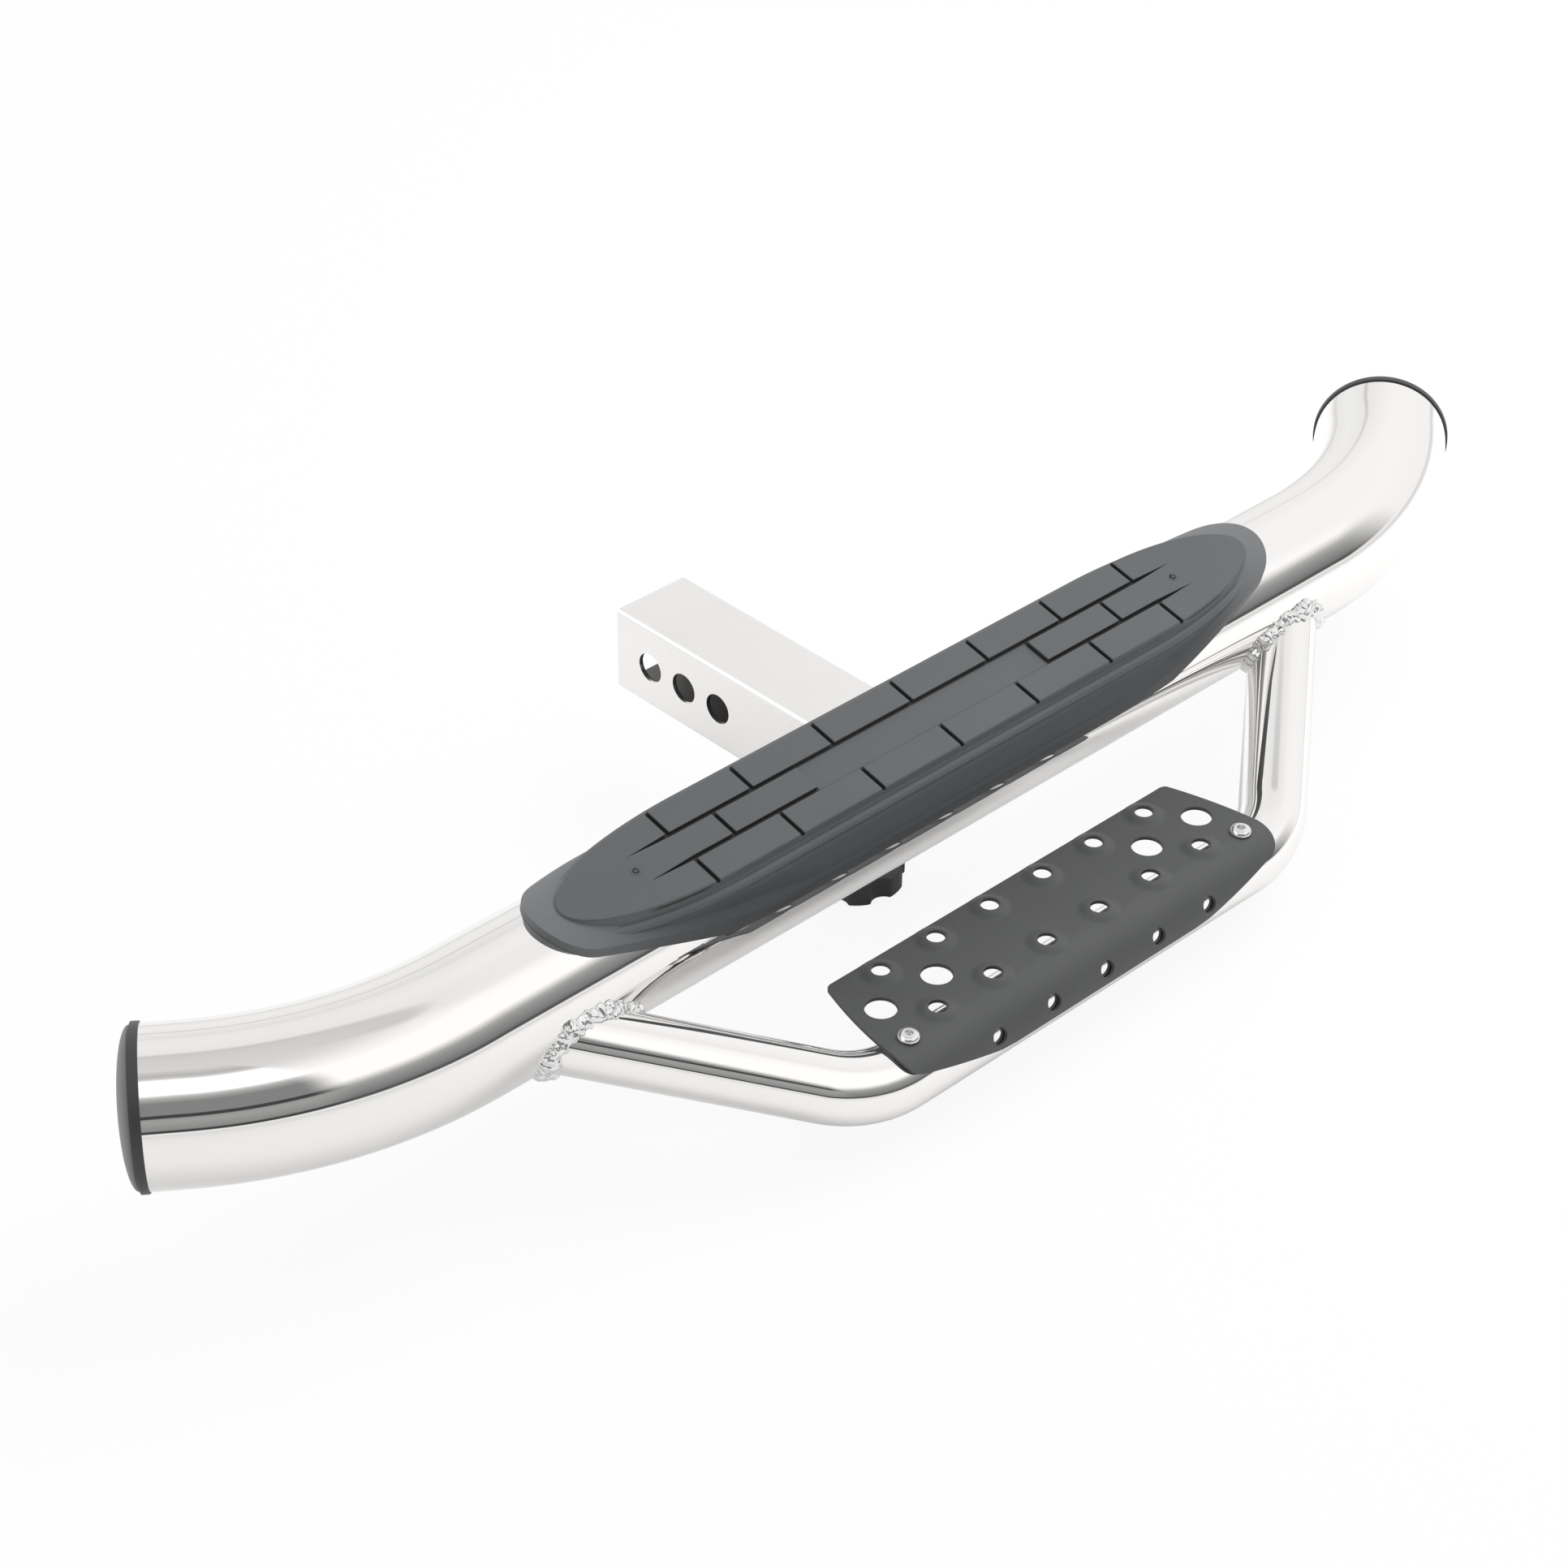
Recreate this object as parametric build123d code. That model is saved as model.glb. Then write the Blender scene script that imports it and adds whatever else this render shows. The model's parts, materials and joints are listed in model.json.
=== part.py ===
# Hitch receiver step: a bent tube with a moulded pad, a lower step on a bent loop, and a square shank.
# The pieces are built about the main tube's axis, then moved so that the middle pin hole is the origin.
# X runs along the main tube, Y along the shank towards the vehicle, and Z is up. Millimetres.
from build123d import *
import math
import os

# Main tube
tube_od = 76.2
tube_wall = 2.0
tube_straight = 598.0
tube_bend_radius = 215.0
tube_bend_angle = 36.0
tube_tail = 17.5

# End caps
cap_flange = 4.0
cap_flange_over = 0.9
cap_dome = 7.5
cap_wall = 2.6
cap_plug_length = 22.0
cap_fin = 1.2
cap_fin_count = 3
cap_fit = 0.25
cap_edge = 2.2
cap_edge_turn = 55.0
cap_crown = 0.72

# Shank
shank_size = 50.0
shank_wall = 2.5
shank_corner = 3.0
shank_inner_corner = 0.6
shank_drop = 11.6
shank_reach = 200.5
pin_hole = 17.2
pin_pitch = 26.5
pin_margin = 26.0

# Lower loop
loop_od = 36.0
loop_wall = 2.0
loop_past_screw = 3.0
loop_bend_radius = 62.0
loop_bend_angle = 42.0
loop_back = 116.5
loop_drop = 57.8

# Weld beads
loop_bead = 4.2
shank_bead = 4.0

# Step plate
plate_thickness = 2.0
plate_back = 62.0
plate_width = 272.0
plate_side_taper = 12.5
plate_side_bow = 1.6
plate_back_corner = 2.5
plate_lip = 1.0
plate_corner_run = 63.0
plate_corner_drop = 7.0
plate_corner_round = 11.0
plate_corner_sweep = 60.0
hole_side_margin = 20.5
row_spacing = 39.0
back_row_margin = 10.3
small_hole = 9.6
small_columns = 6
dimple_rise = 2.2
dimple_foot = 22.0
dimple_top = 12.6
large_hole = 16.2
large_columns = (-3, -2, 2, 3)
nose_hole = 9.0
nose_columns = 5
nose_hole_angle = 21.0

# Plate screws and the rivet nuts that they run in
screw_margin = 14.5
screw_size = 6.0
screw_length = 16.0
screw_head = 11.6
screw_head_height = 3.1
screw_land = 5.8
screw_rim = 0.7
screw_dome = 0.7
screw_socket = 4.0
screw_socket_depth = 2.2
screw_play = 0.4
nut_flange = 0.5
nut_flange_od = 13.0
nut_body_od = 9.0
nut_length = 13.0
nut_bulge_od = 12.0
nut_bulge = 3.5
nut_seat = 0.15
thread_gap = 0.05

# Clamp screw under the shank
clamp_ahead = 42.0
stud_size = 12.0
stud_tip = 8.0
stud_tip_length = 4.0
weld_nut_flats = 19.0
weld_nut_height = 11.0
stud_shown = 21.0
knob_od = 54.0
knob_rim = 12.5
knob_lobes = 7
knob_scallop = 7.0
knob_scallop_depth = 4.0
knob_edge = 1.5
knob_wall = 3.0
knob_hub_od = 22.0
knob_hub_over = 9.0
knob_base = 4.0
foot_od = 16.0
foot_height = 7.0
clamp_gap = 0.4
running_gap = 0.08

# Moulded pad
pad_turn = 13.0
pad_offset = -5.0
pad_fit = 0.2
pad_skin = 4.9
pad_wrap = 72.0
pad_length = 508.0
pad_width = 82.0
pad_tip = 26.0
pad_taper = 120.0
pad_back_shift = 2.0
platform_height = 44.0
platform_length = 482.0
platform_width = 53.6
platform_end = 87.0
platform_wall = 4.5
platform_draft = 0.8
platform_edge = 1.0
ridge_depth = 10.5
ridge_out = 6.2
ridge_end_out = 9.0
ridge_end = 120.0
skirt_depth = 21.6
skirt_out = 10.7
skirt_end = 160.0
brick_pitch = 55.0
groove_width = 2.6
groove_depth = 2.0
brick_columns = 3

# Worked out from the driving sizes
row_groove_offset = platform_width / 6
tube_r = tube_od / 2
tube_bore_r = tube_r - tube_wall
screw_spacing = plate_width - 2 * screw_margin
loop_r = loop_od / 2
loop_straight = screw_spacing + 2 * loop_past_screw
loop_rise = math.degrees(math.atan2(loop_drop, loop_back))
loop_depth = math.hypot(loop_drop, loop_back)
shank_floor = -shank_drop - shank_size / 2
pin_y = [shank_reach - pin_margin - k * pin_pitch for k in range(3)]
plate_back_width = plate_width - 2 * plate_side_taper
hole_pitch = (plate_width / 2 - hole_side_margin) / large_columns[-1]
plate_under = -loop_drop + loop_r + nut_flange
plate_top = plate_under + plate_thickness
nose_in = loop_r + nut_flange
nose_out = nose_in + plate_thickness
weld_nut_bottom = shank_floor - weld_nut_height
hub_top = weld_nut_bottom - stud_shown
rim_top = hub_top - knob_hub_over
knob_bottom = rim_top - knob_rim
foot_bottom = shank_floor + shank_wall + clamp_gap
tube_frame = Pos(0, -pin_y[1], shank_drop)
loop_plane = Plane(
    origin=(0, 0, 0),
    x_dir=(1, 0, 0),
    z_dir=(0, -math.sin(math.radians(loop_rise)), math.cos(math.radians(loop_rise))),
)


def save(node, solid):
    """Move a finished piece into the part's frame and write it."""
    export_step(tube_frame * solid, f"parts/{node}.step")


def both_sides(node, right):
    """Write a right-hand piece and its mirror image."""
    save(f"{node}_right", right)
    save(f"{node}_left", mirror(right, about=Plane.YZ))


def pipe(path, radius):
    """A round solid along a path of straight runs and tangent arcs."""
    return sweep((path ^ 0) * Circle(radius), path=path)


def main_path():
    half = tube_straight / 2
    run = tube_bend_radius * math.tan(math.radians(tube_bend_angle / 2))
    angle = math.radians(tube_bend_angle)
    corner = half + run
    end_x = corner + (run + tube_tail) * math.cos(angle)
    end_y = (run + tube_tail) * math.sin(angle)
    points = [(-end_x, end_y), (-corner, 0), (corner, 0), (end_x, end_y)]
    return FilletPolyline(*points, radius=tube_bend_radius)


def loop_corner_x():
    return loop_straight / 2 + loop_bend_radius * math.tan(math.radians(loop_bend_angle / 2))


def loop_end_x():
    return loop_corner_x() + loop_depth / math.tan(math.radians(loop_bend_angle))


def loop_path():
    """The loop lies in a plane through the main tube's axis, and its arms run up to that axis."""
    points = [
        (-loop_end_x(), 0),
        (-loop_corner_x(), -loop_depth),
        (loop_corner_x(), -loop_depth),
        (loop_end_x(), 0),
    ]
    return loop_plane * FilletPolyline(*points, radius=loop_bend_radius)


def right_arm(radius):
    """The straight right arm of the loop by itself, as a round bar up to the main tube's axis."""
    start = loop_plane.from_local_coords(Vector(loop_corner_x(), -loop_depth, 0))
    end = loop_plane.from_local_coords(Vector(loop_end_x(), 0, 0))
    arm = Line(start, end)
    return sweep((arm ^ 0) * Circle(radius), path=arm)


def shank_bar(grow=0.0):
    """The outside of the square shank, from the main tube's axis to its far end."""
    section = RectangleRounded(shank_size + 2 * grow, shank_size + 2 * grow, shank_corner + grow)
    return Pos(0, 0, -shank_drop) * extrude(Plane.XZ * section, -shank_reach)


def tube_middle(radius):
    """A bar along the straight middle of the main tube."""
    return Rot(0, 90, 0) * Cylinder(radius, tube_straight)


def make_main_tube(path):
    return pipe(path, tube_r) - pipe(path, tube_bore_r)


def make_end_cap(path):
    """A hollow plug with fins, a flange on the tube's end and a domed face."""
    flange_r = tube_r + cap_flange_over
    plug_r = tube_bore_r - cap_fin - cap_fit
    turn = math.radians(cap_edge_turn)
    rim = (flange_r - cap_edge * (1 - math.cos(turn)), cap_flange + cap_edge * math.sin(turn))
    top = cap_flange + cap_dome
    crown = (flange_r / 2, rim[1] + (top - rim[1]) * cap_crown)
    with BuildSketch(Plane.XZ) as outside:
        with BuildLine():
            Line((0, -cap_plug_length), (plug_r, -cap_plug_length))
            Line((plug_r, -cap_plug_length), (plug_r, cap_fit))
            Line((plug_r, cap_fit), (flange_r, cap_fit))
            Line((flange_r, cap_fit), (flange_r, cap_flange))
            JernArc((flange_r, cap_flange), (0, 1), cap_edge, cap_edge_turn)
            Spline(rim, crown, (0, top), tangents=[(-math.sin(turn), math.cos(turn)), (-1, 0)])
            Line((0, top), (0, -cap_plug_length))
        make_face()
    cap = revolve(outside.sketch, Axis.Z)
    hollow_r = plug_r - cap_wall
    hollow = cap_plug_length + cap_flange - cap_wall
    cap -= Pos(0, 0, hollow / 2 - cap_plug_length) * Cylinder(hollow_r, hollow)
    fin = Cylinder(tube_bore_r - cap_fit, cap_fin) - Cylinder(hollow_r + cap_wall / 2, cap_fin)
    for index in range(cap_fin_count):
        cap += Pos(0, 0, -(index + 1) * cap_plug_length / (cap_fin_count + 1)) * fin
    return (path ^ 1) * cap


def make_shank():
    bore = shank_size - 2 * shank_wall
    inner = RectangleRounded(bore, bore, shank_inner_corner)
    shank = shank_bar() - Pos(0, 0, -shank_drop) * extrude(Plane.XZ * inner, -shank_reach)
    for y in pin_y:
        shank -= Pos(0, y, -shank_drop) * Rot(0, 90, 0) * Cylinder(pin_hole / 2, shank_size * 1.5)
    shank -= Pos(0, clamp_ahead, shank_floor) * Cylinder(stud_size / 2 + clamp_gap, shank_wall * 4)
    return shank - tube_middle(tube_r)


def make_loop(tube_solid):
    path = loop_path()
    loop = pipe(path, loop_r) - pipe(path, loop_r - loop_wall)
    for side in (-1, 1):
        hole = Cylinder(nut_body_od / 2 + thread_gap, loop_wall * 6)
        loop -= Pos(side * screw_spacing / 2, -loop_back, -loop_drop + loop_r) * hole
    return loop - tube_solid


def make_loop_weld(tube_solid, tube_path):
    """The fillet bead where the right arm meets the main tube."""
    bead = right_arm(loop_r + loop_bead) & pipe(tube_path, tube_r + loop_bead)
    return bead - right_arm(loop_r) - tube_solid


def make_shank_weld():
    bead = shank_bar(shank_bead) & tube_middle(tube_r + shank_bead)
    return bead - shank_bar() - tube_middle(tube_r)


def plate_profile():
    """The plate's section: flat, rolled down round the loop, with a short straight lip."""
    y_axis = -loop_back
    z_axis = -loop_drop
    diagonal = math.sqrt(0.5)
    with BuildSketch(Plane.YZ) as profile:
        with BuildLine():
            Line((-plate_back, plate_top), (y_axis, plate_top))
            ThreePointArc(
                (y_axis, plate_top),
                (y_axis - nose_out * diagonal, z_axis + nose_out * diagonal),
                (y_axis - nose_out, z_axis),
            )
            Line((y_axis - nose_out, z_axis), (y_axis - nose_out, z_axis - plate_lip))
            Line((y_axis - nose_out, z_axis - plate_lip), (y_axis - nose_in, z_axis - plate_lip))
            Line((y_axis - nose_in, z_axis - plate_lip), (y_axis - nose_in, z_axis))
            ThreePointArc(
                (y_axis - nose_in, z_axis),
                (y_axis - nose_in * diagonal, z_axis + nose_in * diagonal),
                (y_axis, plate_under),
            )
            Line((y_axis, plate_under), (-plate_back, plate_under))
            Line((-plate_back, plate_under), (-plate_back, plate_top))
        make_face()
    return profile.sketch


def bowed(start, end, bow):
    """The middle of a shallow arc that stands out to the right of the line from start to end."""
    along = (end[0] - start[0], end[1] - start[1])
    length = math.hypot(*along)
    middle = ((start[0] + end[0]) / 2, (start[1] + end[1]) / 2)
    return (middle[0] + bow * along[1] / length, middle[1] - bow * along[0] / length)


def plate_plan():
    """The plate from above: its ends bow outwards from the narrower back edge."""
    back = (plate_back_width / 2, -plate_back)
    wide = (plate_width / 2, -loop_back)
    front = (plate_width / 2, -loop_back - nose_out - plate_thickness)
    with BuildSketch() as plan:
        with BuildLine():
            Line((0, back[1]), back)
            ThreePointArc(back, bowed(wide, back, plate_side_bow), wide)
            Line(wide, front)
            Line(front, (0, front[1]))
            mirror(about=Plane.YZ)
        make_face()
        back_vertices = plan.vertices().group_by(Axis.Y)[-1].sort_by(Axis.X)
        fillet([back_vertices[0], back_vertices[-1]], plate_back_corner)
    return plan.sketch


def plate_front():
    """The plate from behind: the rolled nose has long, swept lower corners."""
    wide = plate_width / 2
    low = -loop_drop - plate_lip
    top = plate_top + dimple_rise + plate_thickness
    shoulder = (wide, plate_top - plate_corner_drop)
    chin = (wide - plate_corner_run, low)
    right = [(0, top), (wide, top), shoulder, chin, (0, low)]
    half = make_face(Polyline(*right, close=True))
    half = fillet(half.vertices().sort_by_distance(shoulder)[0], plate_corner_round)
    half = fillet(half.vertices().sort_by_distance(chin)[0], plate_corner_sweep)
    return Plane.XZ * (half + mirror(half, about=Plane.YZ))


def spaced(count):
    """Column numbers of an evenly spaced row, centred on zero."""
    return [index - (count - 1) / 2 for index in range(count)]


def plate_dimple():
    """A raised cone with a flat top, seated at height zero, with a skirt that reaches the falling nose."""
    foot_r = dimple_foot / 2
    skirt = plate_thickness / 2
    cone = Pos(0, 0, dimple_rise / 2) * Cone(foot_r, dimple_top / 2, dimple_rise)
    return cone + Pos(0, 0, -skirt / 2) * Cylinder(foot_r, skirt)


def make_plate():
    plate = extrude(plate_profile(), plate_width / 2, both=True)
    plate &= Pos(0, 0, -loop_drop - loop_od) * extrude(plate_plan(), loop_od * 3)
    plate &= extrude(plate_front(), 2 * (loop_back + nose_out))
    back_row = -plate_back - back_row_margin
    front_row = back_row - row_spacing
    dimple = plate_dimple()
    through = 4 * plate_thickness
    for x, y in [(c * hole_pitch, y) for y in (back_row, front_row) for c in spaced(small_columns)]:
        plate += Pos(x, y, plate_top) * dimple
        plate -= Pos(x, y, plate_under) * dimple
        plate -= Pos(x, y, plate_top) * Cylinder(small_hole / 2, through)
    for column in large_columns:
        middle = (back_row + front_row) / 2
        plate -= Pos(column * hole_pitch, middle, plate_top) * Cylinder(large_hole / 2, through)
    for column in spaced(nose_columns):
        drill = Rot(90 - nose_hole_angle, 0, 0) * Pos(0, 0, nose_out) * Cylinder(nose_hole / 2, nose_out)
        plate -= Pos(column * hole_pitch, -loop_back, -loop_drop) * drill
    for side in (-1, 1):
        hole = Cylinder(screw_size / 2 + screw_play, through)
        plate -= Pos(side * screw_spacing / 2, -loop_back, plate_top) * hole
    return plate


def make_plate_screw():
    """A button-head socket screw, standing on the plate."""
    shaft_r = screw_size / 2 - thread_gap
    rim = (screw_head / 2, screw_rim)
    land = (screw_land / 2, screw_head_height)
    with BuildSketch(Plane.XZ) as half:
        with BuildLine():
            Polyline((0, screw_head_height), (0, -screw_length), (shaft_r, -screw_length), (shaft_r, 0))
            Polyline((shaft_r, 0), (rim[0], 0), rim)
            ThreePointArc(rim, bowed(rim, land, screw_dome), land)
            Line(land, (0, screw_head_height))
        make_face()
    screw = revolve(half.sketch, Axis.Z)
    socket = extrude(RegularPolygon(screw_socket / 2, 6, major_radius=False), screw_socket_depth)
    screw -= Pos(0, 0, screw_head_height - screw_socket_depth) * socket
    return Pos(screw_spacing / 2, -loop_back, plate_top) * screw


def loop_core(radius):
    """A bar on the axis of the loop's straight part, placed as the rivet nut sees it."""
    return Pos(0, 0, -loop_r) * Rot(0, 90, 0) * Cylinder(radius, 2 * nut_flange_od)


def make_rivet_nut():
    """A threaded insert, with a flange pressed to the loop's outside and a bulge under its wall."""
    body = Pos(0, 0, nut_flange - nut_length / 2) * Cylinder(nut_body_od / 2, nut_length)
    flange = Cylinder(nut_flange_od / 2, 2 * loop_wall) & (loop_core(nose_in) - loop_core(loop_r + nut_seat))
    bulge = Pos(0, 0, -loop_wall) * Cylinder(nut_bulge_od / 2, 2 * nut_bulge)
    bulge &= loop_core(loop_r - loop_wall - nut_seat)
    nut = (body & loop_core(nose_in)) + flange + bulge
    nut -= Cylinder(screw_size / 2, 4 * nut_length)
    return Pos(screw_spacing / 2, -loop_back, -loop_drop + loop_r) * nut


def make_weld_nut():
    nut = extrude(RegularPolygon(weld_nut_flats / 2, 6, major_radius=False), -weld_nut_height)
    nut -= Cylinder(stud_size / 2 + running_gap, 4 * weld_nut_height)
    return Pos(0, clamp_ahead, shank_floor) * nut


def make_clamp_stud():
    bottom = knob_bottom + knob_base
    top = foot_bottom
    stud = Pos(0, 0, (bottom + top) / 2) * Cylinder(stud_size / 2, top - bottom)
    tip = Pos(0, 0, top + stud_tip_length / 2) * Cylinder(stud_tip / 2, stud_tip_length)
    return Pos(0, clamp_ahead, -clamp_gap) * (stud + tip)


def make_clamp_foot():
    foot = Pos(0, 0, foot_height / 2) * Cylinder(foot_od / 2, foot_height)
    foot -= Pos(0, 0, stud_tip_length / 2) * Cylinder(stud_tip / 2 + running_gap, stud_tip_length)
    return Pos(0, clamp_ahead, foot_bottom) * foot


def make_clamp_knob():
    """A scalloped hand knob, cupped on its upper side around a hub that holds the stud."""
    scallop_ring = knob_od / 2 + knob_scallop - knob_scallop_depth
    outline = Circle(knob_od / 2)
    for index in range(knob_lobes):
        outline -= Rot(0, 0, index * 360 / knob_lobes) * Pos(scallop_ring, 0) * Circle(knob_scallop)
    outline = fillet(outline.vertices(), knob_edge)
    knob = extrude(outline, knob_rim)
    knob = chamfer(knob.edges().group_by(Axis.Z)[0], knob_edge / 2)
    cup_depth = knob_rim - knob_base
    hub_height = cup_depth + knob_hub_over
    cup_r = knob_od / 2 - knob_scallop_depth - knob_wall
    knob -= Pos(0, 0, knob_base + cup_depth / 2) * Cylinder(cup_r, cup_depth)
    knob += Pos(0, 0, knob_base + hub_height / 2) * Cylinder(knob_hub_od / 2, hub_height)
    knob -= Pos(0, 0, knob_base + hub_height / 2) * Cylinder(stud_size / 2 + thread_gap, hub_height)
    return Pos(0, clamp_ahead, knob_bottom - clamp_gap) * knob


def oval(length, width, end, height):
    """A long oval face: straight sides with half-ellipse ends, at a height above the tube's axis."""
    straight = length / 2 - end
    half = width / 2
    with BuildSketch(Plane.XY.offset(height)) as sketch:
        with BuildLine():
            Line((-straight, -half), (straight, -half))
            EllipticalCenterArc((straight, 0), end, half, start_angle=270, arc_size=180)
            Line((straight, half), (-straight, half))
            EllipticalCenterArc((-straight, 0), end, half, start_angle=90, arc_size=180)
        make_face()
    return sketch.sketch


def pad_outline():
    """The pad's plan: round tips, and sides that widen in one long arc to the straight middle."""
    half = pad_length / 2
    wide = pad_width / 2
    tip_x = half - pad_tip
    start_x = tip_x - pad_taper
    side_radius = (pad_taper ** 2 / (wide - pad_tip) + wide + pad_tip) / 2
    lean = math.asin(pad_taper / (side_radius - pad_tip))
    joint = (tip_x + pad_tip * math.sin(lean), pad_tip * math.cos(lean))
    middle_x = start_x + side_radius * math.sin(lean / 2)
    middle = (middle_x, wide - side_radius * (1 - math.cos(lean / 2)))
    with BuildSketch() as sketch:
        with BuildLine():
            Line((-start_x, wide), (start_x, wide))
            ThreePointArc((start_x, wide), middle, joint)
            ThreePointArc(joint, (half, 0), (joint[0], -joint[1]))
            ThreePointArc((joint[0], -joint[1]), (middle[0], -middle[1]), (start_x, -wide))
            Line((start_x, -wide), (-start_x, -wide))
            ThreePointArc((-start_x, -wide), (-middle[0], -middle[1]), (-joint[0], -joint[1]))
            ThreePointArc((-joint[0], -joint[1]), (-half, 0), (-joint[0], joint[1]))
            ThreePointArc((-joint[0], joint[1]), (-middle[0], middle[1]), (-start_x, wide))
        make_face()
    return Pos(0, pad_back_shift) * sketch.sketch


def pad_shell():
    """The part of the pad that wraps the tube and makes the flat band round the tread."""
    reach = tube_od
    angle = math.radians(pad_wrap)
    side = reach * math.sin(angle)
    low = reach * math.cos(angle)
    wedge = make_face(Polyline((0, 0), (side, low), (side, reach), (-side, reach), (-side, low), close=True))
    ring = (Circle(tube_r + pad_skin) - Circle(tube_r + pad_fit)) & wedge
    shell = extrude(Plane.YZ * ring, pad_length / 2, both=True)
    return shell & extrude(pad_outline(), 2 * tube_od)


def pad_platform():
    """The flat oval tread with its steep wall, the sloping shoulder under it and the steep side."""
    drafted = 2 * platform_draft
    foot = oval(
        platform_length + drafted, platform_width + drafted, platform_end, platform_height - platform_wall
    )
    top = oval(platform_length, platform_width, platform_end, platform_height)
    tread = loft([foot, top], ruled=True)
    tread = fillet(tread.edges().group_by(Axis.Z)[-1], platform_edge)
    ridge_length = platform_length + 2 * ridge_end_out
    ridge = oval(ridge_length, platform_width + 2 * ridge_out, ridge_end, platform_height - ridge_depth)
    skirt = oval(ridge_length, platform_width + 2 * skirt_out, skirt_end, platform_height - skirt_depth)
    shoulder = loft([ridge, foot], ruled=True)
    side = loft([skirt, ridge], ruled=True)
    return tread + shoulder + side


def row_groove(row, start):
    """A groove between two rows of bricks, from a blunt inner end to a pointed outer end."""
    half = groove_width / 2
    tip = (brick_columns + 0.5) * brick_pitch
    taper = brick_columns * brick_pitch
    points = [(start, row - half), (taper, row - half), (tip, row), (taper, row + half), (start, row + half)]
    return make_face(Polyline(*points, close=True))


def pad_grooves():
    """The staggered brick pattern and the bare sunken panel in the middle row."""
    panel_half = (brick_columns - 1.5) * brick_pitch
    outer_half = platform_width / 2
    panel_width = 2 * row_groove_offset + groove_width
    cuts = Rectangle(2 * panel_half, panel_width)
    for row in (-row_groove_offset, row_groove_offset):
        groove = row_groove(row, panel_half - groove_width)
        cuts += groove
        cuts += mirror(groove, about=Plane.YZ)
    band = outer_half - row_groove_offset + groove_width
    for column in range(-brick_columns, brick_columns + 1):
        for side in (-1, 1):
            centre = side * (row_groove_offset + band / 2)
            cuts += Pos(column * brick_pitch, centre) * Rectangle(groove_width, band)
    for side in (-1, 1):
        cuts += Pos(side * (panel_half + brick_pitch), 0) * Rectangle(groove_width, 2 * row_groove_offset)
    return Pos(0, 0, platform_height - groove_depth) * extrude(cuts, 2 * groove_depth)


def make_pad():
    pad = pad_shell() + pad_platform()
    pad -= Rot(0, 90, 0) * Cylinder(tube_r + pad_fit, 2 * pad_length)
    pad -= pad_grooves()
    return Pos(pad_offset, 0, 0) * Rot(pad_turn, 0, 0) * pad


def main():
    os.makedirs("parts", exist_ok=True)
    path = main_path()
    tube_solid = pipe(path, tube_r)
    save("main_tube", make_main_tube(path))
    both_sides("end_cap", make_end_cap(path))
    save("step_pad", make_pad())
    save("shank", make_shank())
    save("loop_tube", make_loop(tube_solid))
    both_sides("loop_weld", make_loop_weld(tube_solid, path))
    save("shank_weld", make_shank_weld())
    save("step_plate", make_plate())
    both_sides("plate_screw", make_plate_screw())
    both_sides("rivet_nut", make_rivet_nut())
    save("weld_nut", make_weld_nut())
    save("clamp_stud", make_clamp_stud())
    save("clamp_foot", make_clamp_foot())
    save("clamp_knob", make_clamp_knob())


main()
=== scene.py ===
"""Looks of the hitch receiver step: polished tubes, satin shank, black step plate, moulded pad and caps."""
import json
import math
import random

import bpy
from mathutils import Matrix, Vector

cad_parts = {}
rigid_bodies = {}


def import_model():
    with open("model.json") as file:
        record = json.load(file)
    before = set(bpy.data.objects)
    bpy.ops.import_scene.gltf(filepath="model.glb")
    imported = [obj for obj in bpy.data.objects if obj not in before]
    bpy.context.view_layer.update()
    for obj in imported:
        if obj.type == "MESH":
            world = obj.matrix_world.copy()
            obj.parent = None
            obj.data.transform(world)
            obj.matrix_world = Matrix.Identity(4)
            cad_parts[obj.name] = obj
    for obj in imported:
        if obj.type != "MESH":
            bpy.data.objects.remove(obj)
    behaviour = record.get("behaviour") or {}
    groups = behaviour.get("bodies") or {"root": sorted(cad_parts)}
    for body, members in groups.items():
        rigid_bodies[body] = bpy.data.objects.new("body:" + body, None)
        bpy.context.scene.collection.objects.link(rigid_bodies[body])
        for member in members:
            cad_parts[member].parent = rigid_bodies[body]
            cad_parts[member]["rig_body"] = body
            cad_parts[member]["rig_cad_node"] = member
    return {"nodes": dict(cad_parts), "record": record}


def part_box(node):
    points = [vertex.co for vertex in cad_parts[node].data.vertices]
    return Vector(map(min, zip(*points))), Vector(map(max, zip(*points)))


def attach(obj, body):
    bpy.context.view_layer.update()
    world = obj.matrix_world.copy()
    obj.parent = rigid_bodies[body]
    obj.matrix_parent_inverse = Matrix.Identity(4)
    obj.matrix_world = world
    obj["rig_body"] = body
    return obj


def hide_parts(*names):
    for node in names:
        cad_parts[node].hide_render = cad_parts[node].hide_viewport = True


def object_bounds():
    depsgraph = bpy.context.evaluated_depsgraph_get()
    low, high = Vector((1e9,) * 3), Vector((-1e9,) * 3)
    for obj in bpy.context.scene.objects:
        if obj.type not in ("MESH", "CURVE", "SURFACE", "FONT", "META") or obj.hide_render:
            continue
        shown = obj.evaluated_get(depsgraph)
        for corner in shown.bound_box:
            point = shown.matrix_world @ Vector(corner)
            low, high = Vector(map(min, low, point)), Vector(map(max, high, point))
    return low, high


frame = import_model()
cad_low, cad_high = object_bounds()
nodes = frame["nodes"]
MM = 0.001

# The main tube: its axis lies along X, 148 mm in front of the middle pin hole
tube_axis = Vector((0, -148.0, 11.6)) * MM
tube_radius = 38.1 * MM
tube_wall = 2.0 * MM
tube_straight = 598.0 * MM
tube_bend_radius = 215.0 * MM
tube_bend_angle = math.radians(36)
tube_tail = 17.5 * MM

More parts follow.
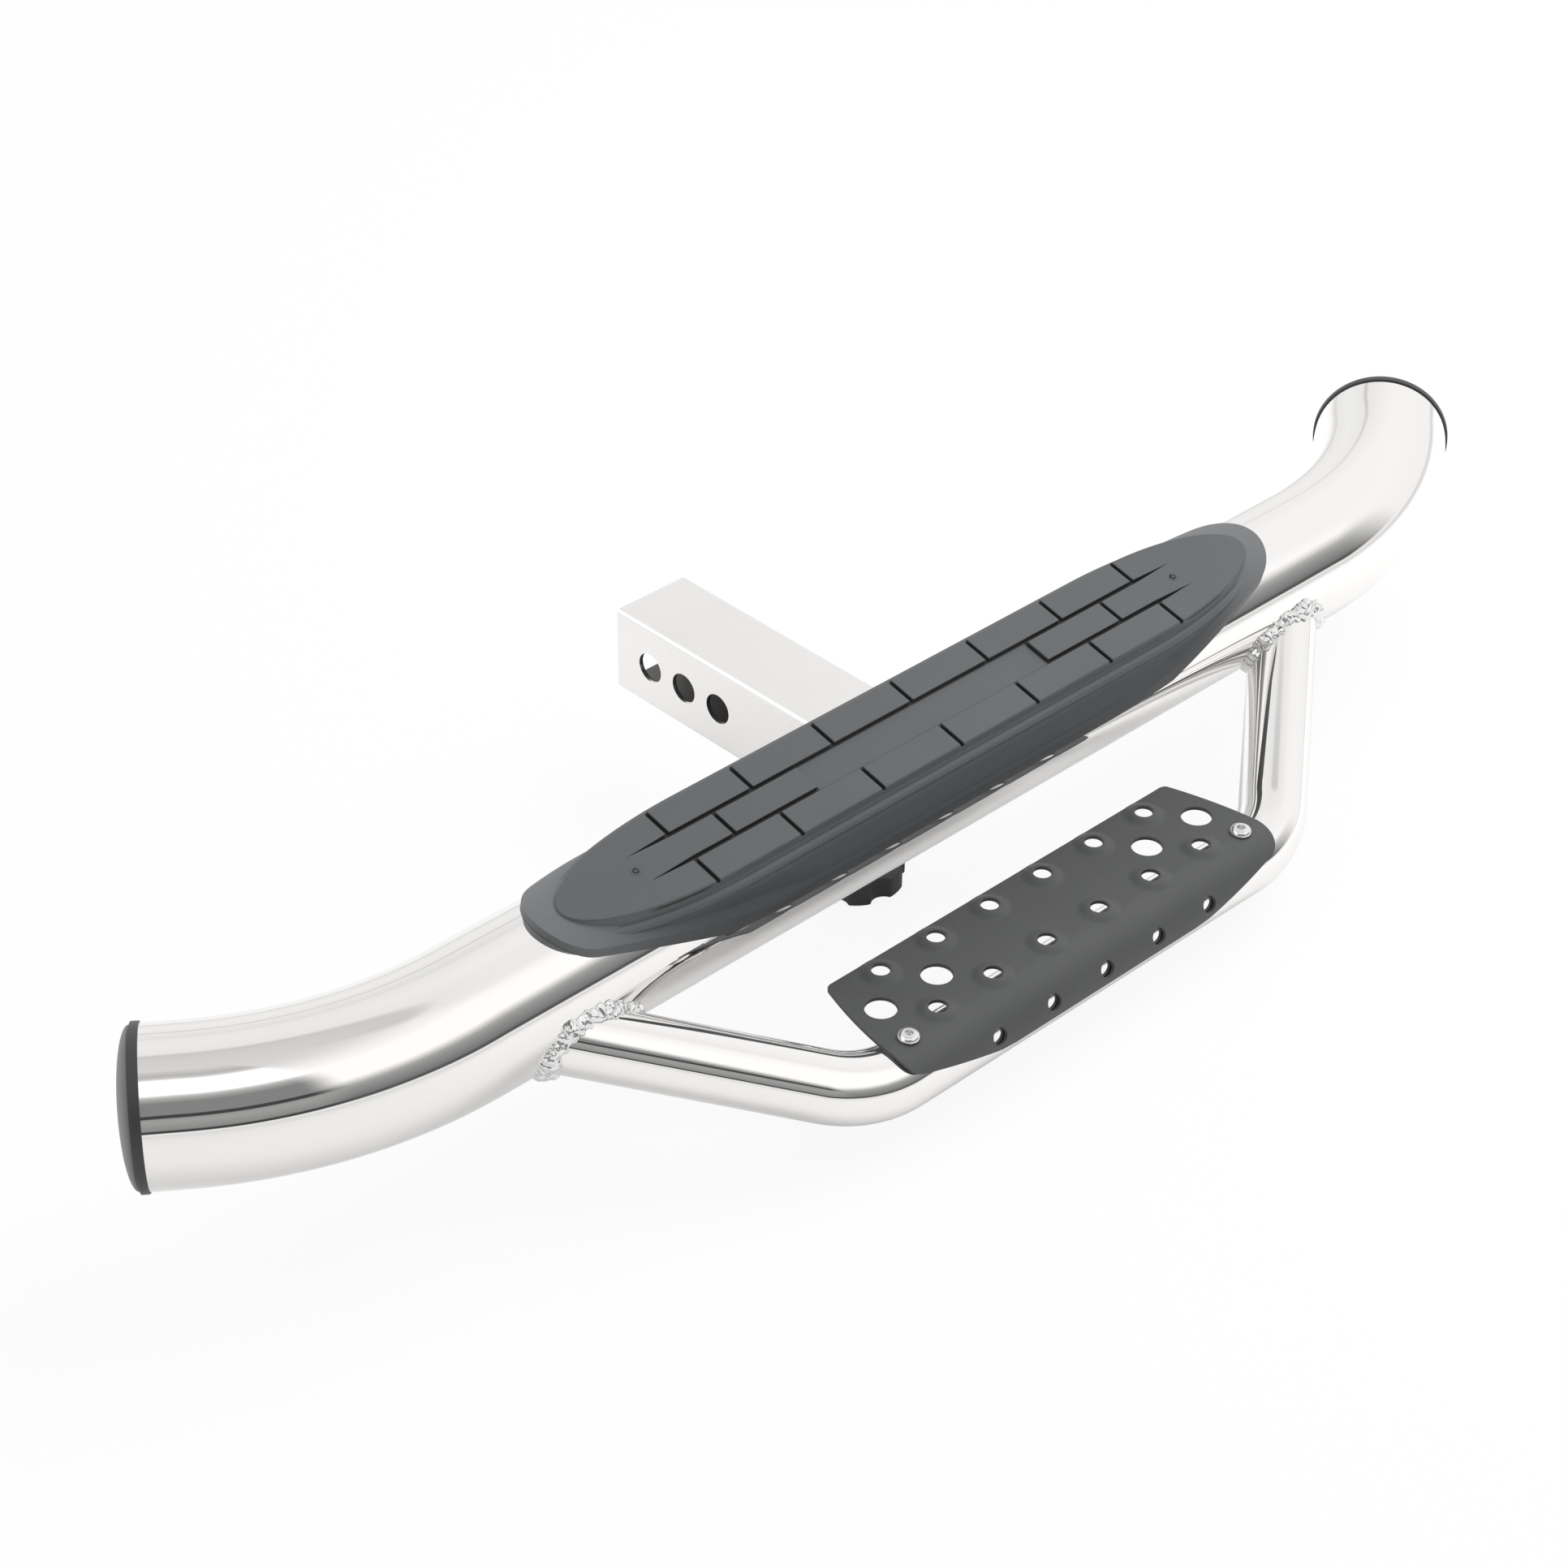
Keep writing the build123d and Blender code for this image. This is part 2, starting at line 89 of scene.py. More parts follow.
# The end caps: a flange a little wider than the tube, a low dome stepped in from it, and a plug
cap_flange = 5.0 * MM
cap_flange_radius = 39.0 * MM
cap_step = 0.7 * MM
cap_dome_radius = 37.4 * MM
cap_dome_rise = 7.0 * MM
cap_plug_radius = 36.0 * MM
cap_plug_tip_radius = 35.7 * MM
cap_plug_length = 14.0 * MM
cap_edge = 0.5 * MM

# The loop under the step plate, from its front run back up to the main tube's axis
loop_radius = 18.0 * MM
loop_wall = 2.0 * MM
loop_straight = 249.0 * MM
loop_bend_radius = 62.0 * MM
loop_bend_angle = math.radians(42)
loop_back = 116.5 * MM
loop_drop = 57.8 * MM
loop_place = tube_axis + Vector((0, -loop_back, -loop_drop))
loop_slope = math.atan2(loop_drop, loop_back)

# The weld beads: overlapping drops, melted together and rippled
weld_drop = 5.0 * MM
weld_spacing = 0.56 * weld_drop
weld_wander = 0.24 * weld_drop
weld_lift = 0.1 * weld_drop
weld_grain = 0.5 * MM
weld_ripple_size = 3.2 * MM
weld_ripple_height = 1.7 * MM

# The step plate: a sheet rolled over the loop's front run, with raised holes, plain holes and nose holes
plate_wall = 2.0 * MM
plate_back = 62.0 * MM
plate_flat = loop_back - plate_back
plate_half = 136.0 * MM
plate_taper = 12.5 * MM
plate_bow = 1.6 * MM
plate_back_corner = 2.5 * MM
plate_lip = 1.0 * MM
plate_edge = 0.4 * MM
nose_radius = 20.5 * MM
nose_quarter = nose_radius * math.pi / 2
nose_foot = nose_radius + plate_lip
hole_pitch = 38.5 * MM
back_row = 72.3 * MM
front_row = 111.3 * MM
dimple_rise = 2.2 * MM
dimple_foot = 11.5 * MM
dimple_top = 5.6 * MM
small_hole = 4.8 * MM
large_hole = 8.1 * MM
nose_hole = 4.5 * MM
nose_hole_turn = math.radians(69)
screw_hole = 3.4 * MM
screw_out = 121.5 * MM
wide_break = 0.3 * MM
fine_break = 0.2 * MM

# The plate's front corners, by their drop below its top: a round, a straight cut, and a sweep into the lip
corner_round = 11.0 * MM
corner_round_lift = 1.75 * MM
corner_round_end = 8.96 * MM
corner_cut_start = 7.0 * MM
corner_cut_width = 63.0 * MM
corner_sweep = 60.0 * MM
corner_sweep_height = 1.5 * MM
corner_sweep_out = 66.2 * MM

# The moulded pad: leaned forward round the tube, its flat tread at a height above the tube's axis
pad_turn = math.radians(13)
pad_middle = tube_axis + Vector((-5.0 * MM, 0, 0))
tread_height = 44.0 * MM
tread_half = 26.8 * MM
groove_depth = 2.0 * MM
groove_reach = 206.0 * MM
panel_half_length = 81.6 * MM
panel_half_width = 9.0 * MM
# Heights and reaches of the pad's painted side shade and of the painted light at its ends
side_shade_heights = (31.5 * MM, 36.0 * MM)
side_shade_reach = (150.0 * MM, 215.0 * MM)
tip_light_reach = (190.0 * MM, 240.0 * MM)
bead_radius = 3.0 * MM
bead_height = 35.6 * MM
bead_half_length = 246.0 * MM
bead_half_width = 29.6 * MM
bead_end = 104.0 * MM
mark_radius = 2.7 * MM
mark_height = 0.18 * MM
mark_rim = 0.55 * MM
mark_slope = 0.25 * MM
mark_sink = 0.16 * MM
mark_floor = 1.15 * MM
dot_slope = 0.15 * MM
dot_rise = 0.12 * MM
mark_bury = 0.02 * MM
mark_places = {"mould_mark_left": -199.0 * MM, "mould_mark_right": 181.5 * MM}

# The square shank
shank_half = 25.0 * MM
shank_bore = 22.5 * MM
shank_corner = 3.0 * MM

# The clamp screw's stud
clamp_y = -106.0 * MM
thread_pitch = 1.75 * MM
thread_crest = 5.9 * MM
thread_root = 5.0 * MM
thread_sink = 0.3 * MM
stud_tip = 4.0 * MM
stud_tip_radius = 3.95 * MM

# How far the edges of the plain solids are rounded
edge_sizes = {
    "step_pad": 0.6 * MM,
    "shank": 0.25 * MM,
    "clamp_knob": 0.8 * MM,
    "plate_screw_left": 0.25 * MM,
    "plate_screw_right": 0.25 * MM,
}

# The photograph's camera, about the main tube's axis
camera_place = tube_axis + Vector((-1.0887, -1.0279, 1.0556))
camera_azimuth = math.radians(-44.08)
camera_elevation = math.radians(35.46)
camera_roll = math.radians(0.66)
camera_lens = 82.6


class Socket:
    """A shader socket that can stand in a Python expression."""

    def __init__(self, graph, socket):
        self.graph = graph
        self.socket = socket

    def beside(self, output):
        """Another output of the same node."""
        return Socket(self.graph, self.socket.node.outputs[output])

    def maths(self, operation, first, second):
        return self.graph.add("ShaderNodeMath", {"operation": operation}, {0: first, 1: second})

    def __add__(self, other):
        return self.maths("ADD", self, other)

    def __radd__(self, other):
        return self.maths("ADD", other, self)

    def __sub__(self, other):
        return self.maths("SUBTRACT", self, other)

    def __rsub__(self, other):
        return self.maths("SUBTRACT", other, self)

    def __mul__(self, other):
        return self.maths("MULTIPLY", self, other)

    def __rmul__(self, other):
        return self.maths("MULTIPLY", other, self)

    def __abs__(self):
        return self.maths("ABSOLUTE", self, 0.0)


class Graph:
    """The nodes of one material or of the world."""

    def __init__(self, tree):
        self.tree = tree
        tree.nodes.clear()

    def add(self, kind, settings=None, inputs=None, output=0):
        """One node: its settings first, then its socket values or links. Gives the chosen output."""
        node = self.tree.nodes.new(kind)
        for name, value in (settings or {}).items():
            if name == "stops":
                self.set_stops(node.color_ramp, value)
            else:
                setattr(node, name, value)
        for name, value in (inputs or {}).items():
            if isinstance(value, Socket):
                self.tree.links.new(value.socket, node.inputs[name])
            else:
                node.inputs[name].default_value = value
        return Socket(self, node.outputs[output]) if node.outputs else node

    @staticmethod
    def set_stops(ramp, stops):
        while len(ramp.elements) < len(stops):
            ramp.elements.new(1.0)
        for element, (place, shade) in zip(ramp.elements, stops):
            element.position = place
            element.color = (shade, shade, shade, 1)

    def object_place(self, scale=(1, 1, 1)):
        place = self.add("ShaderNodeTexCoord", output="Object")
        return self.add("ShaderNodeMapping", {}, {"Vector": place, "Scale": scale})

    def split(self, place):
        """The X, Y and Z of a place."""
        first = self.add("ShaderNodeSeparateXYZ", {}, {"Vector": place})
        return first, first.beside("Y"), first.beside("Z")

    def noise(self, place, scale, detail=2.0):
        return self.add("ShaderNodeTexNoise", {}, {"Vector": place, "Scale": scale, "Detail": detail})

    def rise(self, value, low, high):
        """0 below low, 1 above high, and smooth between."""
        return self.add(
            "ShaderNodeMapRange",
            {"interpolation_type": "SMOOTHSTEP"},
            {"Value": value, "From Min": low, "From Max": high},
        )

    def fall(self, value, low, high):
        return 1 - self.rise(value, low, high)

    def blend_colours(self, factor, first, second):
        return self.add(
            "ShaderNodeMix", {"data_type": "RGBA"}, {"Factor": factor, 6: first, 7: second}, output=2
        )

    def bump(self, height, strength, distance):
        return self.add("ShaderNodeBump", {}, {"Height": height, "Strength": strength, "Distance": distance})

    def finish(self, **inputs):
        shader = self.add("ShaderNodeBsdfPrincipled", {}, {k.replace("_", " "): v for k, v in inputs.items()})
        self.add("ShaderNodeOutputMaterial", {}, {"Surface": shader})


def new_material(name):
    material = bpy.data.materials.new(name)
    material.use_nodes = True
    return material, Graph(material.node_tree)


def grey(level, warm=0.0):
    return (level * (1 + warm), level, level * (1 - warm), 1)


def polished_stainless():
    """Mirror-polished tube: faint clouds, a slight wave and fine lines along its length."""
    material, g = new_material("polished_stainless")
    place = g.object_place()
    cloud = g.noise(place, 9.0)
    wave = g.noise(place, 24.0, 1.0)
    drawn = g.noise(g.object_place((6, 260, 260)), 3.0)
    g.finish(
        Base_Color=g.blend_colours(cloud, grey(0.87, 0.01), grey(0.91, 0.014)),
        Metallic=1.0,
        Roughness=0.015 + 0.025 * drawn,
        Normal=g.bump(wave, 0.1, 0.0006),
    )
    return material


def satin_stainless():
    """Brushed outside; duller inside, where the steel is coloured dark as painted shade: told apart by the
    distance from the shank's axis.
    """
    material, g = new_material("satin_stainless")
    drawn = g.noise(g.object_place((420, 5, 420)), 3.0, 4.0)
    cloud = g.noise(g.object_place(), 22.0, 3.0)
    sideways, _, upright = g.split(g.object_place())
    in_wall, near_skin = shank_bore + 0.7 * MM, shank_bore + 1.3 * MM
    at_sides = g.rise(abs(sideways), in_wall, near_skin)
    at_top = g.rise(abs(upright), in_wall, near_skin)
    outside = at_sides + at_top - at_sides * at_top
    bright = g.blend_colours(cloud, grey(0.86, 0.012), grey(0.93, 0.01))
    # Painted shade: the bore's inside is coloured near-black, the outside bright
    g.finish(
        Base_Color=g.blend_colours(outside, grey(0.16, 0.04), bright),
        Metallic=1.0,
        Roughness=0.5 - outside * (0.3 - 0.12 * drawn) + 0.08 * cloud,
        Normal=g.bump(drawn, 0.06, 0.0002),
    )
    return material


def weld_metal():
    material, g = new_material("weld_metal")
    grain = g.noise(g.object_place(), 420.0, 4.0)
    g.finish(
        Base_Color=g.blend_colours(grain, grey(0.72, 0.01), grey(0.92)),
        Metallic=1.0,
        Roughness=0.08 + 0.14 * grain,
        Normal=g.bump(grain, 0.2, 0.0005),
    )
    return material


def bright_steel(name, level, rough):
    material, g = new_material(name)
    grain = g.noise(g.object_place(), 600.0, 3.0)
    g.finish(
        Base_Color=g.blend_colours(grain, grey(level * 0.9), grey(level)),
        Metallic=1.0,
        Roughness=rough + 0.12 * grain,
        Normal=g.bump(grain, 0.08, 0.0003),
    )
    return material


def black_powder_coat():
    material, g = new_material("black_plate")
    place = g.object_place()
    speck = g.noise(place, 1700.0, 2.0)
    cloud = g.noise(place, 25.0)
    g.finish(
        Base_Color=g.blend_colours(cloud, grey(0.07, -0.025), grey(0.08, -0.025)),
        Roughness=0.46 + 0.12 * speck,
        Normal=g.bump(speck, 0.22, 0.0004),
    )
    return material


def pad_rubber():
    """Moulded rubber, with painted shade near-black in the tread's grooves and darker on the sides, and
    painted light paler at the ends.
    """
    material, g = new_material("pad_rubber")
    place = g.object_place()
    speck = g.noise(place, 1300.0, 3.0)
    cloud = g.noise(place, 16.0, 3.0)
    turned = g.add("ShaderNodeMapping", {}, {"Vector": place, "Rotation": (-pad_turn, 0, 0)})
    middle = Matrix.Rotation(-pad_turn, 3, "X") @ pad_middle
    along, across, height = g.split(
        g.add("ShaderNodeVectorMath", {"operation": "SUBTRACT"}, {0: turned, 1: middle})
    )
    along, across = abs(along), abs(across)
    # Painted shade: the tread's grooves, outside the plain panel, are coloured near-black as if deep in
    # shadow
    groove_shade = g.fall(height, tread_height - 0.8 * groove_depth, tread_height - 0.3 * groove_depth)
    groove_shade = groove_shade * g.rise(height, tread_height - 1.3 * groove_depth, tread_height - 1.15 * groove_depth)
    tread = g.fall(across, tread_half - 0.4 * MM, tread_half)
    tread = tread * g.fall(along, groove_reach - 8.0 * MM, groove_reach)
    panel = g.fall(along, panel_half_length - 0.6 * MM, panel_half_length)
    panel = panel * g.fall(across, panel_half_width - 0.4 * MM, panel_half_width)
    # Painted shade: the pad's lower sides are coloured darker than the tread
    sides = g.fall(height, *side_shade_heights) * g.fall(along, *side_shade_reach)
    # Painted light: the pad's ends, below the tread's top, are coloured paler
    tip_light = g.rise(along, *tip_light_reach)
    tip_light = tip_light * g.fall(height, tread_height - 1.1 * MM, tread_height - 0.5 * MM)
    rubber = g.blend_colours(cloud, grey(0.083, -0.05), grey(0.1, -0.05))
    # Painted shade laid over the rubber on the sides
    rubber = g.blend_colours(sides, rubber, grey(0.056, -0.06))
    # Painted light laid over the rubber at the pad's ends
    rubber = g.blend_colours(tip_light, rubber, grey(0.14, -0.04))
    g.finish(
        Base_Color=g.blend_colours(groove_shade * tread * (1 - panel), rubber, grey(0.016, -0.03)),
        Roughness=0.46 + 0.1 * speck,
        Normal=g.bump(speck, 0.12, 0.0003),
    )
    return material


def knob_plastic():
    material, g = new_material("knob_plastic")
    place = g.object_place()
    speck = g.noise(place, 1500.0, 2.0)
    cloud = g.noise(place, 30.0)
    level = 0.03
    g.finish(
        Base_Color=g.blend_colours(cloud, grey(level * 0.9, -0.02), grey(level, -0.02)),
        Roughness=0.42 + 0.12 * speck,
        Normal=g.bump(speck, 0.15, 0.0003),
    )
    return material


def cap_moulding():
    """Grained lighter dome, and a flange coloured near-black as painted shade: told apart by the distance out
    along the tube's end.
    """
    material, g = new_material("black_moulding")
    place = g.object_place()
    speck = g.noise(place, 1500.0, 2.0)
    cloud = g.noise(place, 30.0)
    sideways, backward, _ = g.split(place)
    out = abs(sideways) * math.cos(tube_bend_angle) + (backward - tube_axis.y) * math.sin(tube_bend_angle)
    half_run = tube_straight / 2 * math.cos(tube_bend_angle)
    dome_foot = half_run + tube_bend_radius * math.sin(tube_bend_angle) + tube_tail + cap_flange
    # Painted shade: the flange is coloured near-black beside the lighter dome
    dome = g.rise(out, dome_foot - 0.3 * MM, dome_foot + 0.5 * MM)
    grain = g.blend_colours(cloud, grey(0.145, -0.03), grey(0.17, -0.03))
    g.finish(
        Base_Color=g.blend_colours(dome, grey(0.04, -0.02), grain),
        Roughness=0.4 + 0.14 * speck,
        Normal=g.bump(speck, 0.2, 0.0003),
    )
    return material


finishes = {
    "polished_stainless": polished_stainless(),
    "satin_stainless": satin_stainless(),
    "weld_metal": weld_metal(),
    "screw_steel": bright_steel("screw_steel", 0.85, 0.14),
    "plated_steel": bright_steel("plated_steel", 0.7, 0.3),
    "black_plate": black_powder_coat(),
    "pad_rubber": pad_rubber(),
    "black_moulding": cap_moulding(),
    "knob_plastic": knob_plastic(),
}


def deselect_all():
    bpy.ops.object.select_all(action="DESELECT")


def select_only(obj):
    for other in bpy.context.selected_objects:
        other.select_set(False)
    obj.select_set(True)
    bpy.context.view_layer.objects.active = obj


def keep_place():
    """Moves the place, turn and size of the selected piece into its mesh."""
    bpy.ops.object.transform_apply(location=True, rotation=True, scale=True)


def edit(obj):
    select_only(obj)
    bpy.ops.object.mode_set(mode="EDIT")
    bpy.ops.mesh.select_all(action="SELECT")


def object_mode():
    bpy.ops.object.mode_set(mode="OBJECT")


def pull(step):
    bpy.ops.mesh.extrude_region_move(TRANSFORM_OT_translate={"value": step})


def select_open_edges():
    bpy.ops.mesh.select_all(action="DESELECT")
    bpy.ops.mesh.select_non_manifold()


def face_outwards():
    bpy.ops.mesh.select_all(action="SELECT")
    bpy.ops.mesh.normals_make_consistent(inside=False)


def apply_modifier(obj, name, kind, **settings):
    modifier = obj.modifiers.new(name, kind)
    for key, value in settings.items():
        setattr(modifier, key, value)
    select_only(obj)
    bpy.ops.object.modifier_apply(modifier=modifier.name)


def thicken(piece, wall):
    apply_modifier(piece, "wall", "SOLIDIFY", thickness=wall, offset=-1.0, use_rim=True)


def round_edges(piece, width, angle):
    apply_modifier(
        piece, "edges", "BEVEL", width=width, segments=2,
        limit_method="ANGLE", angle_limit=math.radians(angle),
    )


def smooth(piece, angle=30):
    select_only(piece)
    bpy.ops.object.shade_smooth_by_angle(angle=math.radians(angle))


def keep_flats_flat(piece):
    apply_modifier(piece, "flats", "WEIGHTED_NORMAL", keep_sharp=True, weight=60, mode="FACE_AREA")


def move(piece, step, turn=0.0):
    """Turns a piece about the X axis, moves it, and keeps the place in its mesh."""
    select_only(piece)
    piece.rotation_euler = (turn, 0, 0)
    piece.location = step
    keep_place()


def own_copy(piece):
    copy = piece.copy()
    copy.data = piece.data.copy()
    bpy.context.scene.collection.objects.link(copy)
    return copy


def joined(pieces):
    """Joins pieces into the first of them."""
    deselect_all()
    for piece in pieces:
        piece.select_set(True)
    bpy.context.view_layer.objects.active = pieces[0]
    bpy.ops.object.join()
    return bpy.context.object


def paint(obj, slot):
    obj.data.materials.clear()
    obj.data.materials.append(finishes[slot])


def put_on(piece, body, slot, *stands_for):
    paint(piece, slot)
    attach(piece, body)
    if stands_for:
        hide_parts(*stands_for)


slot_of = {entry["node"]: entry["material_slot"] for entry in frame["record"]["subparts"]}
body_of = {}
for body_name, members in frame["record"]["behaviour"]["bodies"].items():
    for member in members:
        body_of[member] = body_name
for node_name, node_object in nodes.items():
    paint(node_object, slot_of[node_name])


def bent_tube(name, sides, radius, straight, bend_radius, bend_angle, tail):
    """The outside of a bent tube, level: drawn out from its middle, bent backwards, and mirrored."""
    deselect_all()
    bpy.ops.mesh.primitive_circle_add(
        vertices=sides, radius=radius, fill_type="NOTHING", rotation=(0, math.radians(90), 0)
    )
    tube = bpy.context.object
    tube.name = name
    keep_place()
    edit(tube)
    straight_steps, tail_steps = 8, 6
    for _ in range(straight_steps):
        pull((straight / 2 / straight_steps, 0, 0))
    bpy.ops.mesh.spin(steps=40, angle=bend_angle, center=(straight / 2, bend_radius, 0), axis=(0, 0, -1))
    tail_step = tail / tail_steps
    for _ in range(tail_steps):
        pull((tail_step * math.cos(bend_angle), tail_step * math.sin(bend_angle), 0))
    object_mode()
    apply_modifier(tube, "other_half", "MIRROR", use_axis=(True, False, False), merge_threshold=1e-6)
    edit(tube)
    bpy.ops.mesh.remove_doubles(threshold=1e-6)
    face_outwards()
    object_mode()
    return tube


def closed_copy(piece, name):
    """A copy of an open tube with its two ends filled, to cut other tubes with."""
    block = own_copy(piece)
    block.name = name
    edit(block)
    select_open_edges()
    bpy.ops.mesh.edge_face_add()
    face_outwards()
    object_mode()
    return block


def make_main_tube():
    """The polished main tube. Gives its filled outside too."""
    tube = bent_tube(
        "main_tube_skin", 160, tube_radius, tube_straight, tube_bend_radius, tube_bend_angle, tube_tail
    )
    move(tube, tube_axis)
    block = closed_copy(tube, "main_block")
    thicken(tube, tube_wall)
    smooth(tube)
    put_on(tube, "step_frame", "polished_stainless", "main_tube")
    return block


def make_loop_tube():
    """The loop, drawn out level as far as the main tube's axis, sloped, and coped to the main tube."""
    depth = math.hypot(loop_back, loop_drop)
    arm_length = (depth - loop_bend_radius * (1 - math.cos(loop_bend_angle))) / math.sin(loop_bend_angle)
    loop = bent_tube(
        "loop_tube_skin", 128, loop_radius, loop_straight, loop_bend_radius, loop_bend_angle, arm_length
    )
    thicken(loop, loop_wall)
    move(loop, loop_place, loop_slope)
    apply_modifier(loop, "cope", "BOOLEAN", operation="DIFFERENCE", object=main_block, solver="EXACT")
    smooth(loop)
    put_on(loop, "step_frame", "polished_stainless", "loop_tube")


def evenly_spaced(points, spacing):
    """Points along a closed line, the same distance apart."""
    closed = points + points[:1]
    lengths = [(b - a).length for a, b in zip(closed, closed[1:])]
    count = round(sum(lengths) / spacing)
    step = sum(lengths) / count
    places = []
    walked = 0.0
    for start, end, length in zip(closed, closed[1:], lengths):
        while len(places) * step < walked + length and len(places) < count:
            places.append(start.lerp(end, (len(places) * step - walked) / length))
        walked += length
    return places


def seam_on_main_tube(starts, direction):
    """Where lines along a tube's side meet the main tube."""
    seam = []
    for start in starts:
        hit, place, _, _ = main_block.ray_cast(start, direction)
        if hit:
            seam.append(place)
    return seam


def main_tube_normal(place):
    """The way out of the main tube at a place on its straight run or on one of its bends."""
    if abs(place.x) <= tube_straight / 2:
        return Vector((0, place.y - tube_axis.y, place.z - tube_axis.z)).normalized()
    side = 1 if place.x > 0 else -1
    centre = Vector((side * tube_straight / 2, tube_axis.y + tube_bend_radius, tube_axis.z))
    spoke = place - centre
    spoke.z = 0
    ring_point = centre + spoke.normalized() * tube_bend_radius
    return (place - ring_point).normalized()


def make_drop():
    """One frozen drop of weld: a ball pressed flat along the seam."""
    deselect_all()
    bpy.ops.mesh.primitive_ico_sphere_add(subdivisions=3, radius=1.0)
    drop = bpy.context.object
    edit(drop)
    bpy.ops.transform.resize(value=(0.6, 1.12, 0.76))
    object_mode()
    return drop


def lay_drop(drop, place, tangent, outward, chance):
    """A copy of the drop laid across the seam, with some chance in its place, turn and size."""
    across = tangent.cross(outward).normalized()
    outward = across.cross(tangent).normalized()
    centre = place + outward * (weld_lift + chance.uniform(-0.5, 0.5) * weld_wander)
    centre = centre + across * chance.uniform(-1, 1) * weld_wander
    turn = Matrix((tangent, across, outward)).transposed()
    tilt = Matrix.Rotation(chance.uniform(-0.7, 0.7), 3, "Z")
    tilt = tilt @ Matrix.Rotation(chance.uniform(-0.4, 0.4), 3, "X")
    size = weld_drop * chance.choice((0.76, 0.86, 0.95, 1.0, 1.06, 1.16))
    lump = own_copy(drop)
    lump.matrix_world = Matrix.Translation(centre) @ (turn @ tilt).to_4x4() @ Matrix.Scale(size, 4)
    return lump


def weld_bead(name, node, outline, start, way, seed):
    """A lumpy fillet bead where an outline, carried along a straight way, meets the main tube."""
    chance = random.Random(seed)
    places = evenly_spaced(seam_on_main_tube(outline, way), weld_spacing)
    drop = make_drop()
    lumps = []
    for index, place in enumerate(places):
        tangent = (places[(index + 1) % len(places)] - places[index - 1]).normalized()
        axis_point = start + way * (place - start).dot(way)
        outward = (main_tube_normal(place) + (place - axis_point).normalized()).normalized()
        lumps.append(lay_drop(drop, place, tangent, outward, chance))
    bpy.data.objects.remove(drop)
    bead = joined(lumps)
    bead.name = name
    keep_place()
    apply_modifier(bead, "melt", "REMESH", mode="VOXEL", voxel_size=weld_grain, use_smooth_shade=True)
    ripple = bpy.data.textures.new("weld_ripple", "CLOUDS")
    ripple.noise_scale = weld_ripple_size
    apply_modifier(
        bead, "ripple", "DISPLACE", texture=ripple, texture_coords="LOCAL",
        strength=weld_ripple_height, mid_level=0.5,
    )
    apply_modifier(bead, "settle", "SMOOTH", factor=0.5, iterations=1)
    smooth(bead, 180)
    put_on(bead, "step_frame", "weld_metal", node)


def make_loop_weld(side, side_name):
    """The bead round one arm of the loop."""
    slope = Matrix.Rotation(loop_slope, 3, "X")
    bend_out = loop_straight / 2 + loop_bend_radius * math.sin(loop_bend_angle)
    start = slope @ Vector((bend_out, loop_bend_radius * (1 - math.cos(loop_bend_angle)), 0))
    way = slope @ Vector((math.cos(loop_bend_angle), math.sin(loop_bend_angle), 0))
    start.x, way.x = side * start.x, side * way.x
    start = start + loop_place
    first = way.cross(Vector((0, 0, 1))).normalized()
    second = way.cross(first)
    count = 240
    outline = []
    for index in range(count):
        angle = math.tau * index / count
        outline.append(start + loop_radius * (math.cos(angle) * first + math.sin(angle) * second))
    weld_bead("loop_weld_bead_" + side_name, "loop_weld_" + side_name, outline, start, way, 11 + side)


def make_shank_weld():
    """The bead round the square shank."""
    flat = shank_half - shank_corner
    flat_steps, corner_steps = 40, 8
    outline = []
    for quarter in range(4):
        turn = Matrix.Rotation(quarter * math.pi / 2, 3, "Y")
        for index in range(flat_steps):
            outline.append(turn @ Vector((shank_half, 0, flat * (1 - 2 * index / flat_steps))))
        for index in range(corner_steps):
            angle = math.pi / 2 * index / corner_steps
            out, down = shank_corner * math.cos(angle), shank_corner * math.sin(angle)
            outline.append(turn @ Vector((flat + out, 0, -flat - down)))
    weld_bead("shank_weld_bead", "shank_weld", outline, Vector((0, 0, 0)), Vector((0, -1, 0)), 7)


def nose_drop(run):
    """How far the sheet's outside has come down from its flat top."""
    turned = run - plate_flat
    if turned <= nose_quarter:
        return nose_radius * (1 - math.cos(turned / nose_radius))
    return nose_radius + turned - nose_quarter


def plate_half_width(run):
    """Half the sheet's width at a run along it from the back edge, over the top and down the nose."""
    if run <= plate_flat:
        share = run / plate_flat
        half = plate_half - plate_taper * (1 - share) + 4 * plate_bow * share * (1 - share)
        if run < plate_back_corner:
            half -= plate_back_corner - math.sqrt(plate_back_corner ** 2 - (plate_back_corner - run) ** 2)
        return half
    drop = nose_drop(run)
    if drop < corner_round_end:
        return plate_half - corner_round + math.sqrt(corner_round ** 2 - (drop + corner_round_lift) ** 2)
    if drop < nose_foot - corner_sweep_height:
        return plate_half - corner_cut_width * (drop - corner_cut_start) / (nose_foot - corner_cut_start)
    above = max(nose_foot - drop, 0.0)
    return corner_sweep_out + math.sqrt(corner_sweep ** 2 - (corner_sweep - above) ** 2)


def sheet_place(x, run, rise):
    """A point on the rolled sheet, a little above its outside."""
    turned = run - plate_flat
    angle = min(max(turned / nose_radius, 0.0), math.pi / 2)
    back = min(turned, 0.0)
    down = max(turned - nose_quarter, 0.0)
    y = -loop_back - back - (nose_radius + rise) * math.sin(angle)
    z = -loop_drop - down + (nose_radius + rise) * math.cos(angle)
    return tube_axis + Vector((x, y, z))


def columns(count):
    return [(index - (count - 1) / 2) * hole_pitch for index in range(count)]


